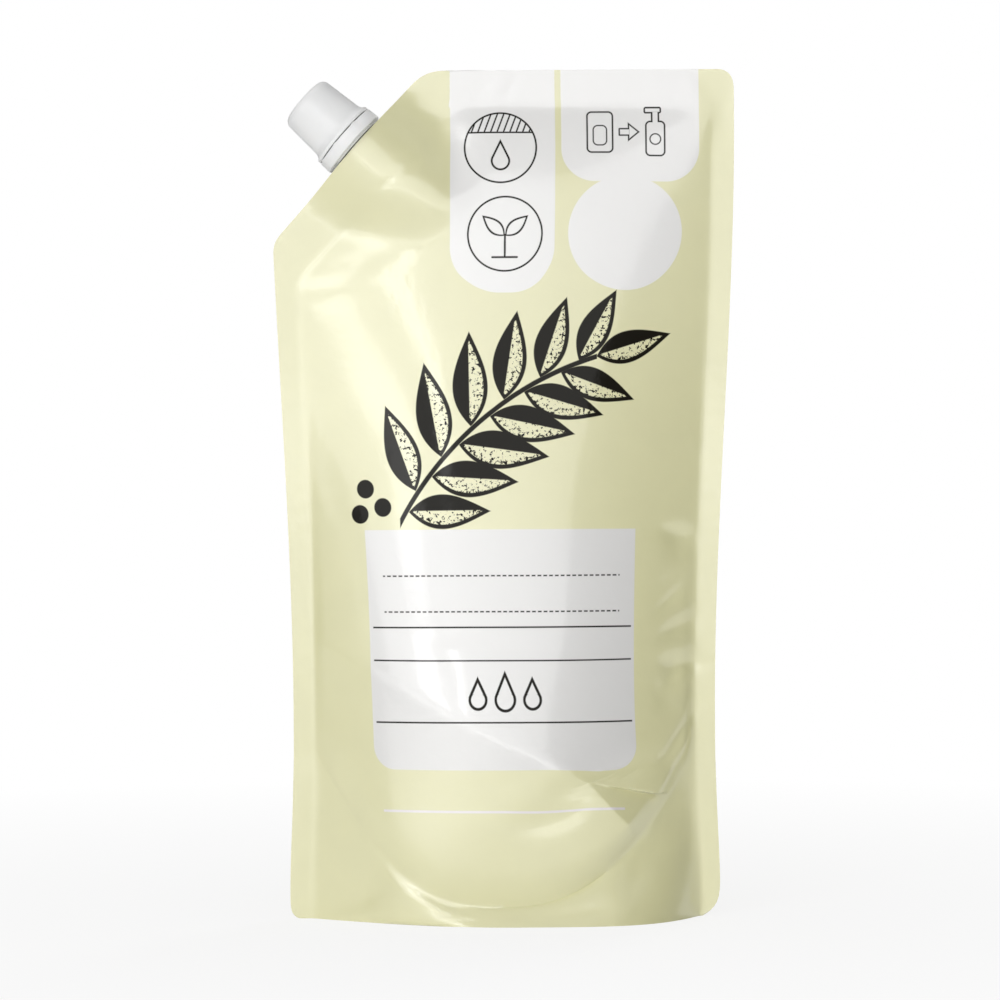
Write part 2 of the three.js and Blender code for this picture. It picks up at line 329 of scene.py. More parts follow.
def film_rows(cut):
    """Lanes across and rows up the film, with the row that the gusset is welded to."""
    u = np.linspace(-1, 1, BAG_STEPS + 1)
    seal = np.arange(1, SEAL_STEPS + 1) / SEAL_STEPS
    lane = np.concatenate([-1 - seal[::-1], np.sign(u) * np.abs(u) ** 0.92, 1 + seal])
    weld = weld_height(cut, lane)
    finer = 1 + 1.3 * np.minimum(np.abs(lane), 1) ** 4
    skirt = [weld * t**finer for t in np.linspace(0, 1, SKIRT_STEPS + 1)]
    bag = [weld + t**1.15 * (cut.bag_even - weld) for t in np.linspace(0, 1, BAG_ROWS + 1)[1:]]
    level = np.linspace(cut.bag_even, cut.shoulder, LEVEL_ROWS + 1)[1:]
    corner = np.linspace(cut.shoulder, cut.height - cut.top_seal, CORNER_ROWS + 1)[1:]
    top = [cut.height - d for d in TOP_ROWS]
    rows = skirt + bag + [np.full(lane.shape, z) for z in (*level, *corner, *top)]
    return lane, np.array(rows)


def cells(grid):
    """The four corners of each cell of a grid of point numbers."""
    return np.stack([grid[:-1, :-1], grid[:-1, 1:], grid[1:, 1:], grid[1:, :-1]], -1).reshape(-1, 4)


def welded_film(cut):
    """Front, back and gusset as one mesh that shares its points along the welds.

    Gives the points as cut (flat) and as first filled, the grids of point numbers, and the masks.
    """
    lane, z = film_rows(cut)
    lanes = np.broadcast_to(lane, z.shape)
    x = lane_x(cut, lanes, z, cut.waist_width)
    tent, inward = boat_tent(cut, x, z)
    in_slant = (inward < cut.slant_seal + 0.6) & (z > cut.bag_even)
    sleeve = in_slant & (tent > 3 * cut.film)
    welded = ((np.abs(lanes) >= 1 - 1e-9) | (z >= cut.height - cut.top_seal - 1e-6)) & ~sleeve
    bulge = np.where(welded, 0, np.where(sleeve, tent, first_bulge(cut, lanes, z)))
    front = np.arange(z.size).reshape(z.shape)
    back = front.copy()
    back[~welded] = z.size + np.arange((~welded).sum())
    inside = np.flatnonzero(np.abs(lane) < 1 - 1e-9)
    first_free = z.size + (~welded).sum()
    t = np.linspace(-1, 1, GUSSET_STEPS + 1)
    gusset = first_free + np.arange(len(inside) * (len(t) - 2)).reshape(len(inside), -1)
    weld = SKIRT_STEPS
    gusset = np.column_stack([front[weld, inside], gusset, back[weld, inside]])
    across = np.abs(lane[inside])[:, None]
    high = weld_height(cut, lane[inside])[:, None]
    ridge = (cut.weld_high + GUSSET_SAG) * across**3.2 - GUSSET_SAG
    pan = np.maximum(ridge + (high - ridge) * np.abs(t) ** 2.5, 0.3)
    depth = bulge[weld, inside][:, None] * t
    flat_x = lane_x(cut, lanes, z, cut.top_width)
    sheets = [np.stack([x, -bulge, z], -1).reshape(-1, 3), np.stack([x, bulge, z], -1)[~welded]]
    laid = [np.stack([flat_x, 0 * z, z], -1).reshape(-1, 3), np.stack([flat_x, 0 * z, z], -1)[~welded]]
    pan_x = np.broadcast_to(x[weld, inside][:, None], depth.shape)
    flat_pan_x = np.broadcast_to(flat_x[weld, inside][:, None], depth.shape)
    fold = cut.weld_high - (cut.weld_high - high) * np.abs(t)
    sheets.append(np.stack([pan_x, depth, pan], -1)[:, 1:-1].reshape(-1, 3))
    laid.append(np.stack([flat_pan_x, 0 * depth, fold], -1)[:, 1:-1].reshape(-1, 3))
    return SimpleNamespace(
        lane=lane, z=z, flat_x=flat_x, front=front, back=back, gusset=gusset, inside=inside, sleeve=sleeve,
        welded=welded, filled=np.concatenate(sheets), laid=np.concatenate(laid),
    )


def film_faces(film):
    """Faces of the welded film, all facing out of the bag."""
    faces = cells(film.front).tolist()
    one_layer = [set(f) for f in faces]
    backs = cells(film.back)[:, ::-1].tolist()
    faces += [b for b, f in zip(backs, one_layer) if set(b) != f]
    faces += cells(film.gusset.T).tolist()
    weld_row = film.front[SKIRT_STEPS]
    for end, corner in ((0, weld_row[film.inside[0] - 1]), (-1, weld_row[film.inside[-1] + 1])):
        edge = film.gusset[end] if end == 0 else film.gusset[end][::-1]
        faces += [[int(corner), int(a), int(b)] for a, b in zip(edge[:-1], edge[1:])]
    return faces


def rippled(points, free):
    """The film with soft waves all over it."""
    rng = np.random.default_rng(SEED)
    x, y, z = points.T
    away = np.sign(y) * (np.abs(y) > 1) * free
    for _ in range(RIPPLES):
        per_x, per_z = rng.uniform(0.03, 0.16), rng.uniform(0.02, 0.09)
        phase = rng.uniform(0, 2 * math.pi, 2)
        y += RIPPLE_DEPTH * away * np.sin(per_x * x + phase[0]) * np.sin(per_z * z + phase[1])
    return np.stack([x, y, z], -1)


# Filling the film

CLOTH_SCALE = 10  # the film is filled at ten times its size, where the cloth solver is at ease


def filled_film(settings, film):
    """Points of the film once the soap has pushed it out, from a cloth simulation, in millimetres."""
    sleeve_points = np.concatenate([film.front[film.sleeve], film.back[film.sleeve]])
    held = np.zeros(len(film.filled), bool)
    held[film.front[0]] = held[film.back[0]] = held[sleeve_points] = True
    held[film.front[:, [0, -1]]] = held[film.front[-1]] = True
    pushed = np.ones(len(film.filled), bool)
    pushed[film.front[: SKIRT_STEPS]] = pushed[film.back[: SKIRT_STEPS]] = False
    pushed[film.front[film.welded]] = pushed[sleeve_points] = False
    start = rippled(film.filled.copy(), ~held)
    scale = MM * CLOTH_SCALE
    mesh = bpy.data.meshes.new("film_to_fill")
    mesh.from_pydata((start * scale).tolist(), [], film_faces(film))
    obj = bpy.data.objects.new("film_to_fill", mesh)
    bpy.context.collection.objects.link(obj)
    obj.shape_key_add(name="Basis")
    flat = obj.shape_key_add(name="flat")
    flat.data.foreach_set("co", (film.laid * scale).astype(np.float32).ravel())
    flat.value = 0
    stiff = np.zeros(len(film.filled), bool)
    stiff[film.front[film.welded]] = stiff[film.front[:SKIRT_STEPS]] = stiff[film.back[:SKIRT_STEPS]] = True
    for name, mask in (("held", held), ("pushed", pushed), ("stiff", stiff)):
        obj.vertex_groups.new(name=name).add(np.flatnonzero(mask).tolist(), 1.0, "REPLACE")
    cloth = obj.modifiers.new("film", "CLOTH")
    cloth.collision_settings.use_collision = False
    values = {
        "quality": 6, "mass": 0.02, "air_damping": 3, "tension_stiffness": 300, "compression_stiffness": 300,
        "shear_stiffness": 100, "bending_stiffness": settings.bending, "tension_damping": 10,
        "bending_stiffness_max": settings.seal_bending, "vertex_group_bending": "stiff",
        "compression_damping": 10, "shear_damping": 5, "bending_damping": 0.5, "vertex_group_mass": "held",
        "use_pressure": True, "uniform_pressure_force": 0, "vertex_group_pressure": "pushed",
        "fluid_density": 0, "use_pressure_volume": True, "target_volume": settings.fill,
        "pressure_factor": 60, "rest_shape_key": flat,
    }
    for name, value in values.items():
        setattr(cloth.settings, name, value)
    cloth.point_cache.frame_end = settings.steps
    for step in range(1, settings.steps + 1):
        bpy.context.scene.frame_set(step)
    settled = obj.evaluated_get(bpy.context.evaluated_depsgraph_get()).data.vertices
    points = np.empty(3 * len(settled), np.float32)
    settled.foreach_get("co", points)
    bpy.data.objects.remove(obj)
    bpy.context.scene.frame_set(1)
    return points.reshape(-1, 3).astype(float) / scale


# The film as one closed skin


class FilmSkin:
    """Collects the points and faces of the skin; each point keeps its place on the flat film and its side."""

    def __init__(self):
        self.points, self.prints, self.faces = [], [], []

    def add(self, places, across, up, side):
        """Adds points, and gives their numbers in the same grid."""
        places = np.asarray(places)
        first = len(self.points)
        count = places[..., 0].size
        self.points += places.reshape(-1, 3).tolist()
        flat = [np.broadcast_to(v, places.shape[:-1]).ravel() for v in (across, up, side)]
        self.prints += np.stack(flat, -1).tolist()
        return first + np.arange(count).reshape(places.shape[:-1])


def sheet_normals(sheet):
    """Unit normals of a sheet of points, towards the front."""
    normal = np.cross(np.gradient(sheet, axis=1), np.gradient(sheet, axis=0))
    return normal / np.linalg.norm(normal, axis=-1, keepdims=True)


def skirt_and_gusset(skin, cut, film, front_in, back_in, points):
    """The inside of the skirt, and the gusset's underside that closes the bag."""
    weld, inside = SKIRT_STEPS, film.inside
    lanes = np.concatenate([[inside[0] - 1], inside, [inside[-1] + 1]])
    for inner in (front_in, back_in):
        skin.faces += cells(inner[: weld + 1, lanes]).tolist()
    under = points[film.gusset[:, 1:-1]]
    under[..., 2] = np.maximum(under[..., 2], cut.film)
    middle = skin.add(under, 0, 0, 0)
    gusset = np.column_stack([front_in[weld, inside], middle, back_in[weld, inside]])
    skin.faces += cells(gusset).tolist()
    for corner, edge in ((front_in[weld, lanes[0]], gusset[0]), (front_in[weld, lanes[-1]], gusset[-1])):
        skin.faces += [[int(corner), int(a), int(b)] for a, b in zip(edge[:-1], edge[1:])]


def spout_sleeve(skin, film, front_in, back_in):
    """The inside of the film round the spout's weld base, with a floor below it."""
    s = film.sleeve
    open_cell = s[:-1, :-1] & s[:-1, 1:] & s[1:, :-1] & s[1:, 1:]
    for j, i in zip(*np.nonzero(open_cell)):
        corners = [(j, i), (j, i + 1), (j + 1, i + 1), (j + 1, i)]
        skin.faces += [[int(inner[c]) for c in corners] for inner in (front_in, back_in)]
        beyond = ((j - 1, i), (j, i + 1), (j + 1, i), (j, i - 1))
        for k, (bj, bi) in enumerate(beyond):
            a, b = corners[k], corners[(k + 1) % 4]
            if bi >= 0 and not open_cell[bj, bi]:
                skin.faces.append([int(front_in[a]), int(front_in[b]), int(back_in[b]), int(back_in[a])])
    return open_cell


def cut_edges(skin, outline, front_out, back_out, front_in, back_in, open_edge):
    """The thickness of the film along its cut edges: one edge at a weld, two where the layers part."""
    for a, b in zip(outline[:-1], outline[1:]):
        fa, fb, ba, bb = front_out[a], front_out[b], back_out[a], back_out[b]
        if open_edge(a, b):
            sides = ([fa, fb, front_in[b], front_in[a]], [back_in[a], back_in[b], bb, ba])
        else:
            far = [front_in[b], back_in[b]] if front_in[b] >= 0 else []
            near = [back_in[a], front_in[a]] if front_in[a] >= 0 else []
            sides = ([fa, fb, *far, bb, ba, *near],)
        skin.faces += [list(dict.fromkeys(int(p) for p in side)) for side in sides]


def weld_groove(cut, film):
    """How far the bag swells out over its gusset's weld."""
    side = np.abs(film.lane)
    strength = WELD_SWELL * (0.35 + 0.65 * smooth(side, 0.2, 0.6)) * (1 - smooth(side, 0.9, 1))
    strength *= np.where(film.lane < 0, 1, 0.6)
    above = np.maximum(film.z - weld_height(cut, film.lane), 0)
    return strength * (1 - np.exp(-above / WELD_RISE)) * np.exp(-above / WELD_FADE)


def tuck(x, z):
    """A three-cornered fold: how far the film stands out round it, and how far its upper edge hangs down."""
    corners = [np.array(c) for c in TUCK]
    place = np.stack([x, z], -1)
    apart, runs = [], [corners[(i + 1) % 3] - corners[i] for i in range(3)]
    for start, run in zip(corners, runs):
        apart.append((place - start) @ (np.array((-run[1], run[0])) / np.linalg.norm(run)))
    beyond = np.max(apart, axis=0)
    deep = -(corners[1] - corners[2]) @ (np.array((-runs[2][1], runs[2][0])) / np.linalg.norm(runs[2]))
    fall = np.clip(-apart[2] / deep, 0, 1)
    out = np.exp(-np.maximum(beyond, 0) / TUCK_FADE)
    out -= fall * smooth(-apart[0], 0, TUCK_HANG) * smooth(-apart[1], -3, 6)
    # The film above hangs down by as much as the step is tall, which hides the step under a clean edge
    ledge = np.exp(-np.maximum(apart[0], 0) / 3) * np.clip(1 + apart[0] / TUCK_HANG, 0, 1)
    return TUCK_LIFT * out, 0.97 * TUCK_HANG * ledge * smooth(fall, 0.02, 0.3) * smooth(-apart[1], -3, 2)


def dents(x, z):
    """Small slanting dents along the inner edge of the right weld."""
    rng = np.random.default_rng(SEED)
    depth = np.zeros_like(x)
    for up in np.linspace(*DENT_SPAN, DENTS) + rng.uniform(-4, 4, DENTS):
        turn, far = rng.uniform(-0.5, 0.9), rng.uniform(5, 11)
        u = x + far
        v = z - up - u * math.tan(turn)
        strength, long, wide = rng.uniform(0.3, 1), rng.uniform(3, 6), rng.uniform(2, 4.5)
        depth += strength * np.exp(-((u / long) ** 2) - (v / wide) ** 2)
    return -DENT_DEPTH * depth


def cut_finer(obj):
    """Cuts the faces round the tuck finer, so that its edge is crisp."""
    low, high = np.min(TUCK, axis=0) - TUCK_MARGIN, np.max(TUCK, axis=0) + TUCK_MARGIN

    def near(face):
        x, y, z = face.center / MM
        return face.normal.y < 0 and y < 0 and low[0] < x < high[0] and low[1] < z < high[1]

    select_faces(obj, near)
    bpy.ops.mesh.subdivide(number_cuts=TUCK_CUTS)
    bpy.ops.object.mode_set(mode="OBJECT")


def press_creases(cut, mesh):
    """Presses the tuck, the dents, the skirt's lip and the step in the side welds into the filled film."""
    places, normals, flat = (np.empty((len(mesh.vertices), 3), np.float32) for _ in range(3))
    mesh.vertices.foreach_get("co", places.ravel())
    mesh.vertex_normals.foreach_get("vector", normals.ravel())
    mesh.attributes["film"].data.foreach_get("vector", flat.ravel())
    inner = cut.top_width / 2 - cut.side_seal
    x, z = places[:, 0] / MM, places[:, 2] / MM
    across, up, side = flat.T
    above = up - weld_height(cut, across / inner)
    lift, hang = tuck(x, z)
    near = smooth(inner - np.abs(across), 0, 4) * smooth(above, 0, 10)
    out = lift * near
    out += dents(across - inner, up) * smooth(above, 0, 4)
    along_lip = smooth(x, LIP[0] - 6, LIP[0] + 6) * (1 - smooth(x, LIP[1] - 8, LIP[1] + 8))
    out += LIP[2] * smooth(-above, 0, 4.5) * along_lip
    out *= side > 0.5
    on_weld = (side != 0) * smooth(np.abs(across), inner - 1.5, inner)
    out += SEAL_STEP * on_weld * (1 - smooth(up, *SEAL_STEP_AT))
    places += out[:, None] * normals * MM
    places[:, 2] -= hang * near * (side > 0.5) * MM
    places[:, 2] = np.maximum(places[:, 2], 0)
    mesh.vertices.foreach_set("co", places.ravel())
    mesh.update()


def swollen(cut, film, points):
    """Front and back sheets, swollen over the gusset's weld."""
    front, back = points[film.front], points[film.back]
    groove = weld_groove(cut, film)[..., None]
    return front + groove * sheet_normals(front), back - groove * sheet_normals(back)


def film_skin(cut, film, points):
    """Builds the closed skin: front, back, cut edges, skirt, gusset and spout sleeve."""
    skin = FilmSkin()
    front, back = swollen(cut, film, points)
    front_n, back_n = sheet_normals(front), sheet_normals(back)
    t, z = cut.film, film.z
    weld = SKIRT_STEPS

    def grounded(sheet):
        sheet[..., 2] = np.maximum(sheet[..., 2], 0)
        sheet[0, :, 2] = 0
        return sheet

    front_out = skin.add(grounded(front + t * front_n), film.flat_x, z, 1)
    back_out = skin.add(grounded(back - t * back_n), film.flat_x, z, -1)
    front_in = np.full(z.shape, -1)
    back_in = np.full(z.shape, -1)
    seams = [film.inside[0] - 1, film.inside[-1] + 1]
    inner_front, inner_back = grounded(front - t * front_n), grounded(back + t * back_n)
    part = np.zeros(z.shape, bool)
    part[: weld + 1, film.inside] = True
    part |= film.sleeve
    front_in[part] = skin.add(inner_front[part], 0, 0, 0)
    back_in[part] = skin.add(inner_back[part], 0, 0, 0)
    for lane in seams:
        front_in[: weld + 1, lane] = skin.add(front[: weld + 1, lane], 0, 0, 0)
        back_in[: weld + 1, lane] = front_in[: weld + 1, lane]
    skin.faces += cells(front_out).tolist() + cells(back_out).tolist()
    skirt_and_gusset(skin, cut, film, front_in, back_in, points)
    open_cell = spout_sleeve(skin, film, front_in, back_in)
    rows, lanes = z.shape

    def open_edge(a, b):
        if a[0] == b[0] == 0:
            return front_in[a] >= 0 and front_in[b] >= 0
        return a[1] == b[1] == 0 and min(a[0], b[0]) < rows - 1 and open_cell[min(a[0], b[0]), 0]

    outline = [(j, 0) for j in range(rows)] + [(rows - 1, i) for i in range(1, lanes)]
    outline += [(j, lanes - 1) for j in range(rows - 2, -1, -1)] + [(0, i) for i in range(lanes - 2, -1, -1)]
    cut_edges(skin, outline, front_out, back_out, front_in, back_in, open_edge)
    return skin


class POUCH_OT_film(bpy.types.Operator):
    """Cuts, welds, fills and prints the film bag"""

    bl_idname = "pouch.film"
    bl_label = "Film bag"

    def execute(self, context):
        settings = context.scene.pouch
        cut = film_cut(settings)
        film = welded_film(cut)
        skin = film_skin(cut, film, filled_film(settings, film))
        mesh = bpy.data.meshes.new("pouch_film")
        mesh.from_pydata((np.array(skin.points) * MM).tolist(), [], skin.faces)
        place = mesh.attributes.new("film", "FLOAT_VECTOR", "POINT")
        place.data.foreach_set("vector", np.array(skin.prints, np.float32).ravel())
        obj = bpy.data.objects.new("pouch_film", mesh)
        context.collection.objects.link(obj)
        select_only(obj)
        bpy.ops.object.mode_set(mode="EDIT")
        bpy.ops.mesh.select_all(action="SELECT")
        bpy.ops.mesh.normals_make_consistent(inside=False)
        bpy.ops.mesh.select_all(action="DESELECT")
        bpy.ops.mesh.select_mode(type="EDGE")
        bpy.ops.mesh.edges_select_sharp(sharpness=math.radians(60))
        bpy.ops.transform.edge_crease(value=1)
        bpy.ops.object.mode_set(mode="OBJECT")
        finer = obj.modifiers.new("finer", "SUBSURF")
        finer.levels = finer.render_levels = 1
        bpy.ops.object.modifier_apply(modifier="finer")
        cut_finer(obj)
        press_creases(cut, mesh)
        bpy.ops.object.shade_smooth_by_angle(angle=math.radians(50))
        finish_piece(obj, "pack", "pouch", printed_laminate(context.scene.pouch_print))
        return {"FINISHED"}


# The print

EDGE = 0.12  # softness of a printed edge, in millimetres


def panel(put, film, left, right, low, high, radius):
    """Distance to a rounded rectangle of print, in millimetres, less than 0 inside."""
    middle = ((left + right) / 2, (low + high) / 2, 0)
    half = ((right - left) / 2 - radius, (high - low) / 2 - radius, 1)
    d = put("ShaderNodeVectorMath", (film, middle), operation="SUBTRACT")
    d = put("ShaderNodeVectorMath", [d], operation="ABSOLUTE")
    d = put("ShaderNodeVectorMath", (d, half), operation="SUBTRACT")
    beyond = put("ShaderNodeVectorMath", (d, (0, 0, 0)), operation="MAXIMUM")
    beyond = put("ShaderNodeVectorMath", [beyond], operation="LENGTH")
    each = put("ShaderNodeSeparateXYZ", [d])
    within = put("ShaderNodeMath", (each.outputs[0], each.outputs[1]), operation="MAXIMUM")
    within = put("ShaderNodeMath", (within, 0.0), operation="MINIMUM")
    d = put("ShaderNodeMath", (beyond, within), operation="ADD")
    return put("ShaderNodeMath", (d, radius), operation="SUBTRACT")


def disc(put, film, across, up, radius):
    """Distance to a round of print."""
    d = put("ShaderNodeVectorMath", (film, (across, up, 0)), operation="DISTANCE")
    return put("ShaderNodeMath", (d, radius), operation="SUBTRACT")


def petal(put, film, across, up, long, wide, turn, blunt=0.0):
    """Distance to a pointed leaf, widest near its foot where blunt is more than 0, and to its upper half."""
    local = put(
        "ShaderNodeMapping",
        {"Vector": film, "Location": (across, up, 0), "Rotation": (0, 0, turn),
         "Scale": (long / 2, wide / 2, 1)},
        vector_type="TEXTURE",
    )
    u = put("ShaderNodeSeparateXYZ", [local])
    side = put("ShaderNodeMath", [u.outputs[1]], operation="ABSOLUTE")
    taper = put("ShaderNodeMath", (u.outputs[0], u.outputs[0]), operation="MULTIPLY")
    taper = put("ShaderNodeMath", (1.0, taper), operation="SUBTRACT")
    lean = put("ShaderNodeMath", (u.outputs[0], -blunt, 1.0), operation="MULTIPLY_ADD")
    lean = put("ShaderNodeMath", (lean, 0.05), operation="MAXIMUM")
    width = put("ShaderNodeMath", (taper, lean), operation="MULTIPLY")
    d = put("ShaderNodeMath", (side, width), operation="SUBTRACT")
    d = put("ShaderNodeMath", (d, 0.45 * wide), operation="MULTIPLY")
    half = put("ShaderNodeMath", (u.outputs[1], -0.5 * wide, 0.3), operation="MULTIPLY_ADD")
    return d, put("ShaderNodeMath", (half, d), operation="MAXIMUM")


def wedge(put, film, across, up, sides):
    """Distance to a patch with straight edges, each given by its facing and its distance from a point."""
    place = put("ShaderNodeVectorMath", (film, (across, up, 0)), operation="SUBTRACT")
    edges = []
    for facing, far in sides:
        d = put("ShaderNodeVectorMath", (place, (*facing, 0)), operation="DOT_PRODUCT")
        edges.append(put("ShaderNodeMath", (d, far), operation="SUBTRACT"))
    return joined(put, edges, "MAXIMUM")


def drop(put, film, across, up, radius, tall):
    """Distance to a drop: a round with a point above its middle."""
    rise = radius / tall
    run = math.sqrt(1 - rise**2)
    sides = ((run, rise), radius), ((-run, rise), radius), ((0, -1), -radius * rise)
    return joined(put, [disc(put, film, across, up, radius), wedge(put, film, across, up, sides)])


def joined(put, shapes, operation="MINIMUM"):
    """The least of several values, as where shapes join, or with MAXIMUM the most, as where they overlap."""
    whole = shapes[0]
    for shape in shapes[1:]:
        whole = put("ShaderNodeMath", (whole, shape), operation=operation)
    return whole


def line(put, shape, wide):
    """A line along the edge of a shape."""
    d = put("ShaderNodeMath", [shape], operation="ABSOLUTE")
    return put("ShaderNodeMath", (d, wide / 2), operation="SUBTRACT")


def cover(put, shape, edge=EDGE):
    """How much a shape covers: 1 inside, 0 outside."""
    return put("ShaderNodeMapRange", {"Value": shape, "From Min": edge, "From Max": -edge})


# White grounds of the print on the flat film: left, right, low, high, radius
LABEL = (-45.2, 42.8, 45.5, 116.3, 7.0)
LABEL_TAPER = 0.03  # how much the label narrows towards its foot, from the left
TABS = ((-15.2, 16.2, 186.6, 270.0, 14.0), (18.0, 59.4, 220.0, 270.0, 10.0))
DISC = (37.4, 204.6, 17.2)
RINGS = ((-0.2, 230.3, 10.7), (1.3, 204.2, 11.1))
REFILL_AT = (38.6, 235.0)
RULES = (87.4, 77.8, 59.4)
DASHES = (102.6, 92.0)
# Painted highlight: a thin pale lilac band above the base, in place of light caught on a low ridge of the
# film; left, right, low, high
FOOT_HIGHLIGHT = (-39.5, 38.0, 33.0, 33.7)

# Sprig: an arc of stem with leaves in turn on either side
STEM_CENTRE, STEM_RADIUS = (61.3, 62.4), 110.0
STEM_FROM, STEM_TO = math.radians(149.5), math.radians(107.0)
LEAF_PAIRS = 6
BERRIES = ((-44.5, 128.5), (-39.0, 123.0), (-46.5, 121.0))


def sprig(put, film):
    """Leaves of the sprig, their dark halves, its stem and its berries."""

    def on_stem(angle):
        return Vector(STEM_CENTRE) + STEM_RADIUS * Vector((math.cos(angle), math.sin(angle)))

    foot, tip = on_stem(STEM_FROM), on_stem(STEM_TO)
    stem = line(put, disc(put, film, *STEM_CENTRE, STEM_RADIUS), 1.5)
    stem = joined(put, [stem, panel(put, film, foot.x, tip.x, foot.y - 9, tip.y + 9, 0.5)], "MAXIMUM")
    leaves = []
    for i in range(2 * LEAF_PAIRS + 1):
        t = (i + 0.6) / (2 * LEAF_PAIRS + 0.6)
        angle = STEM_FROM + (STEM_TO - STEM_FROM) * t
        along = angle - math.pi / 2
        side = 0 if i == 2 * LEAF_PAIRS else (1 if i % 2 else -1)
        turn = along + side * math.radians(58 - 18 * t)
        long = 27 - 9 * abs(t - 0.35) if side else 22
        reach = long / 2 + (1.6 if side else 0.5)
        middle = on_stem(angle) + reach * Vector((math.cos(turn), math.sin(turn)))
        leaves.append(petal(put, film, *middle, long, 0.36 * long, turn, blunt=0.35))
    berries = joined(put, [disc(put, film, *place, 2.8) for place in BERRIES])
    whole, dark = (joined(put, shapes) for shapes in zip(*leaves))
    return whole, dark, stem, berries


def ring_marks(put, film):
    """Two ringed marks on the first tab: a hatched round with a drop, and a sprout."""
    (x1, z1, r1), (x2, z2, r2) = RINGS
    rounds = [disc(put, film, *RINGS[0]), disc(put, film, *RINGS[1])]
    lines = [line(put, d, 0.55) for d in rounds]
    cap = joined(put, [rounds[0], panel(put, film, x1 - 12, x1 + 12, z1 + 4.6, z1 + 13, 0.1)], "MAXIMUM")
    lines.append(line(put, cap, 0.5))
    tilted = put("ShaderNodeVectorMath", (film, (0.94, -0.34, 0)), operation="DOT_PRODUCT")
    hatch = put("ShaderNodeMath", (tilted, 0.9), operation="PINGPONG")
    hatch = put("ShaderNodeMath", (hatch, 0.24), operation="SUBTRACT")
    lines.append(joined(put, [hatch, cap], "MAXIMUM"))
    lines.append(line(put, drop(put, film, x1, z1 - 4.2, 2.6, 6.0), 0.6))
    for side in (-1, 1):
        turn = math.radians(90 - 48 * side)
        lines.append(line(put, petal(put, film, x2 + 3.4 * side, z2 + 2.4, 8.4, 3.6, turn, 0.3)[0], 0.55))
    lines.append(panel(put, film, x2 - 0.3, x2 + 0.3, z2 - 7, z2, 0.25))
    lines.append(panel(put, film, x2 - 4, x2 + 4, z2 - 7.3, z2 - 6.7, 0.25))
    return joined(put, lines)


def refill_marks(put, film):
    """Three small outline signs on the second tab: a bag, an arrow and a bottle."""
    x, z = REFILL_AT
    lines = [line(put, panel(put, film, x - 12.8, x - 5.2, z - 6.2, z + 6.2, 1.3), 0.5)]
    lines.append(line(put, panel(put, film, x - 11.0, x - 7.0, z - 4.0, z + 2.0, 1.4), 0.4))
    head = wedge(put, film, x + 2.6, z, (((0.64, 0.77), 0), ((0.64, -0.77), 0), ((-1, 0), 3.0)))
    arrow = [panel(put, film, x - 3.2, x, z - 1.0, z + 1.0, 0.1), head]
    lines.append(line(put, joined(put, arrow), 0.45))
    bottle = [panel(put, film, x + 4.8, x + 10.4, z - 7.2, z + 3.2, 1.3),
              panel(put, film, x + 6.6, x + 8.6, z + 2.0, z + 6.4, 0.2),
              panel(put, film, x + 4.4, x + 9.2, z + 5.9, z + 7.4, 0.4)]
    lines.append(line(put, joined(put, bottle), 0.5))
    lines.append(line(put, disc(put, film, x + 7.6, z - 2.2, 1.6), 0.4))
    return joined(put, lines)


def label_marks(put, film):
    """Rules and dashed lines across the label, and three drops between them."""
    left, right = LABEL[0] + 1.2, LABEL[1] - 1.0
    lines = [panel(put, film, left, right, z - 0.25, z + 0.25, 0.05) for z in RULES]
    across = put("ShaderNodeSeparateXYZ", [film])
    dash = put("ShaderNodeMath", (across.outputs[0], 0.95), operation="PINGPONG")
    dash = put("ShaderNodeMath", (dash, 0.62), operation="SUBTRACT")
    rows = joined(put, [panel(put, film, left + 4, right - 4, z - 0.22, z + 0.22, 0.05) for z in DASHES])
    lines.append(joined(put, [rows, dash], "MAXIMUM"))
    drops = [drop(put, film, -0.5 + 9 * i, 66, 3.2 - 0.5 * abs(i), 7.6 - 1.6 * abs(i)) for i in (-1, 0, 1)]
    lines.append(line(put, joined(put, drops), 0.9))
    return joined(put, lines)


